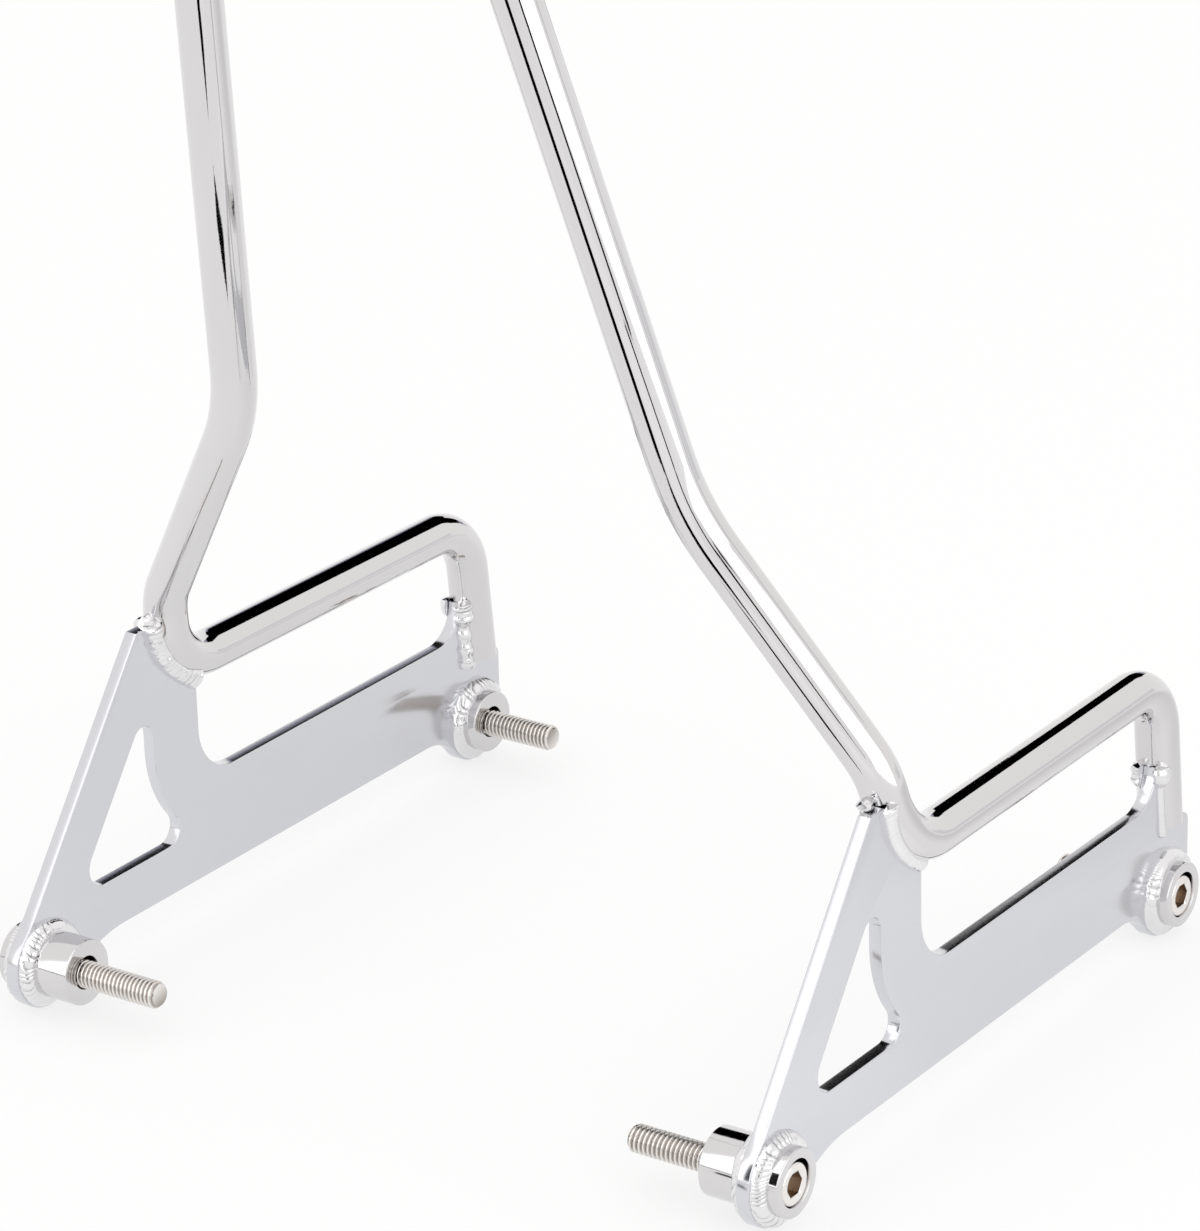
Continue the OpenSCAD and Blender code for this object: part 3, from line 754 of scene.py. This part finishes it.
# finishes: two colours that the soft noise mixes, gloss as roughness, the fine noise's height in metres, and the
# colour of the painted shade in the valleys
finishes = {
    "barChrome": {"pale": (0.72, 0.71, 0.71), "dim": (0.68, 0.67, 0.675), "gloss": 0.05, "wave": 0.00001},
    "plateChrome": {"pale": (0.70, 0.705, 0.73), "dim": (0.66, 0.667, 0.697), "gloss": 0.16, "wave": 0.00001},
    "bungChrome": {"pale": (0.73, 0.72, 0.72), "dim": (0.66, 0.65, 0.66), "gloss": 0.09, "wave": 0.00001},
    # the welds' valley colour is painted shade in the ripples' grooves, near black
    "weldChrome": {"pale": (0.87, 0.865, 0.87), "dim": (0.76, 0.76, 0.775), "gloss": 0.06, "wave": 0.00004,
                   "valleyShade": (0.07, 0.07, 0.08)},
    # the bolts' valley colour is painted shade in the thread's grooves
    "boltSteel": {"pale": (0.90, 0.875, 0.85), "dim": (0.76, 0.73, 0.70), "gloss": 0.19, "wave": 0.00001,
                  "valleyShade": (0.38, 0.345, 0.315)},
    "socketSteel": {"pale": (0.72, 0.62, 0.54), "dim": (0.42, 0.35, 0.29), "gloss": 0.22, "wave": 0.00001},
}


def metal(name, scale, stretch=(1, 1, 1)):
    # polished metal: colour and gloss drift with a soft noise, valleys carry painted shade, and a noise nine times
    # as fine tilts the surface a little
    s = finishes[name]
    material, tree, shader = newMaterial(name)
    soft = noise(tree, scale, 3.0)
    colour = mixColour(tree, soft, s["dim"], s["pale"])
    # painted shade: the valley colour is mixed in by the point attribute, fully where it is 1
    if "valleyShade" in s:
        low = tree.make("ShaderNodeAttribute", {"attribute_name": "valleyShade"}, {}, "Fac")
        colour = mixColour(tree, low, colour, s["valleyShade"])
    fine = noise(tree, scale * 9, 2.0, stretch)
    normal = tree.make("ShaderNodeBump", {}, {"Strength": 1.0, "Distance": s["wave"], "Height": fine})
    tree.fill(shader, {"Base Color": colour, "Metallic": 1.0, "Normal": normal,
                       "Roughness": (soft - 0.5) * (0.3 * s["gloss"]) + s["gloss"]})
    return material


barChrome = metal("barChrome", 30)
plateChrome = metal("plateChrome", 25)
bungChrome = metal("bungChrome", 60, (0.2, 1, 1))
weldChrome = metal("weldChrome", 160)
boltSteel = metal("boltSteel", 220, (0.3, 1, 1))
socketSteel = metal("socketSteel", 300)
print("materials made")

# the pieces, right and left

points, faces = sweptBar()
meshObject("hoopBar", points, faces, barChrome, ["hoop_bar"])
print("bar swept")


def onSide(points, side):
    # Shapes are worked out on the right; the left one mirrors them.
    return points if side == "right" else mirrored(points)


points, faces, flat = sidePlate()
for side in ("right", "left"):
    meshObject("sidePlate_" + side, onSide(points, side), faces, plateChrome,
               ["side_plate_" + side], flat=flat)
print("plates cut")

for place, y, inner in (("rear", 0.0, bung["innerRear"]), ("front", plate["boltSpacing"], bung["innerFront"])):
    bungPoints, bungFaces = bungShape(y, inner)
    boltPoints, boltFaces, socketFaces, boltGrooveShade = boltShape(y, bolt["lengths"][place])
    for side in ("right", "left"):
        meshObject(f"bung_{place}_{side}_turned", onSide(bungPoints, side), bungFaces, bungChrome,
                   [f"bung_{place}_{side}"])
        meshObject(f"bolt_{place}_{side}_threaded", onSide(boltPoints, side), boltFaces, boltSteel,
                   [f"bolt_{place}_{side}"], second=socketSteel, secondFaces=socketFaces,
                   valleyShade=boltGrooveShade)
print("bungs and bolts turned")

seed = weld["seed"]
for side in ("right", "left"):
    for face, way in (("inner", -1), ("outer", 1)):
        x = bar["plateX"] + (bar["plateThick"] if way > 0 else 0)
        beads = {
            "rear": ringBead(x, way, 0.0, seed),
            "front": ringBead(x, way, plate["boltSpacing"], seed + 1),
            "corner": cornerBead(way, seed + 2),
            "leg": legBead(way, seed + 3),
        }
        seed += len(beads)
        for place, (points, faces, grooveShade) in beads.items():
            meshObject(f"weld_{place}_{side}_{face}_bead", onSide(points, side), faces, weldChrome,
                       [f"weld_{place}_{side}_{face}"], sharp=60, valleyShade=grooveShade)
print("weld beads laid")

# floor, cards, world and camera

studio = {
    "floorZ": -13.4,
    "floorSize": 8000,
    "floorPaint": 0.985,
    "floorGlow": 0.70,
    "white": (1.0, 0.985, 0.98),
    "rightBox": 1.75,
    "rearBox": 1.7,
    # round patches of painted shade on the floor, seen in mirrored rays only: centre and radius in metres, and how
    # much darker it is there, or brighter below nought, which is painted light
    "paintedPools": (((-0.04, 0.24), 0.24, 0.10), ((0.32, 0.44), 0.28, 0.30), ((0.22, -0.27), 0.17, -0.13),
              ((-0.33, -0.08), 0.22, -0.02), ((0.18, 0.05), 0.07, -0.10)),
    "backY": 880,
}


def emission(name, colour, strength):
    # a material that only glows
    material, tree, shader = newMaterial(name)
    tree.nodes.remove(shader)
    glow = tree.make("ShaderNodeEmission", {}, {"Color": (*colour, 1), "Strength": strength})
    tree.fill(tree.nodes["Material Output"], {"Surface": glow})
    return material


def seenWhite(tree):
    # 1 for the camera's rays and for mirrored or refracted ones, 0 for the light that falls on things
    kinds = ("Is Camera Ray", "Is Glossy Ray", "Is Transmission Ray")
    seen, glossy, through = (tree.make("ShaderNodeLightPath", {}, {}, kind) for kind in kinds)
    return seen.math("MAXIMUM", glossy).math("MAXIMUM", through)


def flatMesh(name, cornerPoints, material):
    # one flat face through the corners
    mesh = bpy.data.meshes.new(name)
    mesh.from_pydata((np.array(cornerPoints) * mm).tolist(), [], [list(range(len(cornerPoints)))])
    mesh.materials.append(material)
    obj = bpy.data.objects.new(name, mesh)
    scene.collection.objects.link(obj)
    return obj


def card(name, cornerPoints, material, lights=False):
    # a flat studio card that the camera never sees; one that doesn't light things shows in mirrored rays only
    obj = flatMesh(name, cornerPoints, material)
    obj.visible_camera = False
    obj.visible_shadow = False
    obj.visible_diffuse = lights


def makeFloor():
    # pale floor: part paint, which keeps the shadow, and part glow; in mirrored rays it carries painted shade,
    # darker by each patch's depth times one less the square of the distance over the radius
    material, tree, shader = newMaterial("palePaint")
    paintColour = (studio["floorPaint"],) * 3 + (1,)
    tree.fill(shader, {"Roughness": 1.0, "Specular IOR Level": 0.0, "Base Color": paintColour})
    place = tree.make("ShaderNodeTexCoord", {}, {}, "Object")
    x, y = (tree.make("ShaderNodeSeparateXYZ", {}, {0: place}, k) for k in (0, 1))
    # painted shade of the patches, and painted light where a depth is below nought
    level = 0
    for (px, py), radius, depth in studio["paintedPools"]:
        dx, dy = (x - px) * (1 / radius), (y - py) * (1 / radius)
        level = (1 - (dx * dx + dy * dy)).math("MAXIMUM", 0.0) * depth + level
    inMetal = tree.make("ShaderNodeLightPath", {}, {}, "Is Glossy Ray")
    glow = tree.make("ShaderNodeEmission", {}, {"Strength": 1 - inMetal * level})
    paint = Value(tree, shader.outputs[0])
    share = seenWhite(tree) * studio["floorGlow"]
    surface = tree.make("ShaderNodeMixShader", {}, {0: share, 1: paint, 2: glow})
    tree.fill(tree.nodes["Material Output"], {"Surface": surface})
    h, z = studio["floorSize"] / 2, studio["floorZ"]
    flatMesh("floor", [(-h, -h, z), (h, -h, z), (h, h, z), (-h, h, z)], material)


def makeWorld():
    # even white all round
    world = bpy.data.worlds.new("studioAir")
    scene.world = world
    world.use_nodes = True
    tree = Tree(world.node_tree)
    tree.fill(tree.nodes["Background"], {"Color": (*studio["white"], 1), "Strength": 1.0})


makeFloor()
makeWorld()
rightLight = emission("rightBoxLight", (1, 1, 1), studio["rightBox"])
rearLight = emission("rearBoxLight", (1, 1, 1), studio["rearBox"])
darkCloth = emission("darkCloth", (0.0, 0.0, 0.0), 0.0)
duskCloth = emission("duskCloth", (0.33, 0.33, 0.40), 1.0)
paleDusk = emission("paleDusk", (0.62, 0.62, 0.66), 1.0)
palest = emission("palest", (0.82, 0.82, 0.84), 1.0)
# softboxes and cards that stand free: corners in millimetres
card("softboxRight", [(750, -400, -10), (750, 330, -10), (750, 330, 430), (750, -400, 430)], rightLight, True)
card("softboxRear", [(-720, -800, 35), (420, -800, 35), (420, -800, 1400), (-720, -800, 1400)], rearLight)
card("softboxHigh", [(-720, -800, 1400), (420, -800, 1400), (300, 0, 1500), (-700, 0, 1500)], rearLight)
card("darkHorizon", [(-1500, -800, 2), (420, -800, 2), (420, -800, 26), (-1500, -800, 26)], darkCloth)
# cards in one plane ahead of the part, at Y = backY, that the rails mirror: corners are (x, z)
backCards = {
    "darkBack": (darkCloth, [(62, 385), (62, 1700), (-1300, 1700), (-1300, 480), (-600, 470), (-570, 345),
                             (-375, 345), (-345, 395), (-290, 410)]),
    "duskBack": (duskCloth, [(-570, 345), (-600, 470), (-1300, 480), (-1300, 350)]),
    "darkWedge": (darkCloth, [(-290, 410), (-205, 230), (-30, 230), (62, 385)]),
    "duskWedge": (duskCloth, [(-205, 230), (-170, 150), (-80, 150), (-30, 230)]),
    "paleWedge": (paleDusk, [(-170, 150), (-150, 90), (-100, 90), (-80, 150)]),
    "paleFar": (palest, [(470, -12), (950, -12), (950, 110), (470, 110)]),
}
for name, (cloth, outline) in backCards.items():
    card(name, [(x, studio["backY"], z) for x, z in outline], cloth)
# slanting strips near the uprights, stripLow almost on the floor: low end, high end, half width and cloth
strips = {
    "stripLow": ((80, -80, -12), (34, -152, -12), 20, darkCloth),
    "stripHigh": ((71, -150, 20), (44, -200, 190), 27, darkCloth),
    "edgeLow": ((204, -63, 89), (172, -77, 139), 9, darkCloth),
    "edgeHigh": ((181, -46, 152), (160, -82, 280), 14, darkCloth),
    "edgeFar": ((192, 127, 140), (168, 88, 300), 8, paleDusk),
}
for name, ((x0, y0, z0), (x1, y1, z1), half, cloth) in strips.items():
    card(name, [(x0 - half, y0, z0), (x0 + half, y0, z0), (x1 + half, y1, z1), (x1 - half, y1, z1)], cloth)
card("darkEdge", [(750, -810, -10), (750, -700, -10), (750, -700, 450), (750, -810, 450)], darkCloth)
print("studio built")

# camera: its place in millimetres, and its axes as found for the photograph
view = {
    "place": (765.17, -989.71, 627.59),
    "right": (0.8242, 0.5659, -0.0230),
    "down": (0.1929, -0.3187, -0.9280),
    "ahead": (-0.5325, 0.7604, -0.3718),
    "lens": 156.53,
    "sensor": 36,
    "clip": (0.05, 50),  # metres
}
camera = bpy.data.objects.new("camera", bpy.data.cameras.new("camera"))
scene.collection.objects.link(camera)
camera.data.sensor_fit = "HORIZONTAL"
camera.data.sensor_width = view["sensor"]
camera.data.lens = view["lens"]
camera.data.clip_start, camera.data.clip_end = view["clip"]
turn = Matrix([[view["right"][k], -view["down"][k], -view["ahead"][k]] for k in range(3)])
camera.matrix_world = Matrix.Translation(Vector(view["place"]) * mm) @ turn.to_4x4()
scene.camera = camera
scene.view_settings.view_transform = "Standard"
print("camera placed")
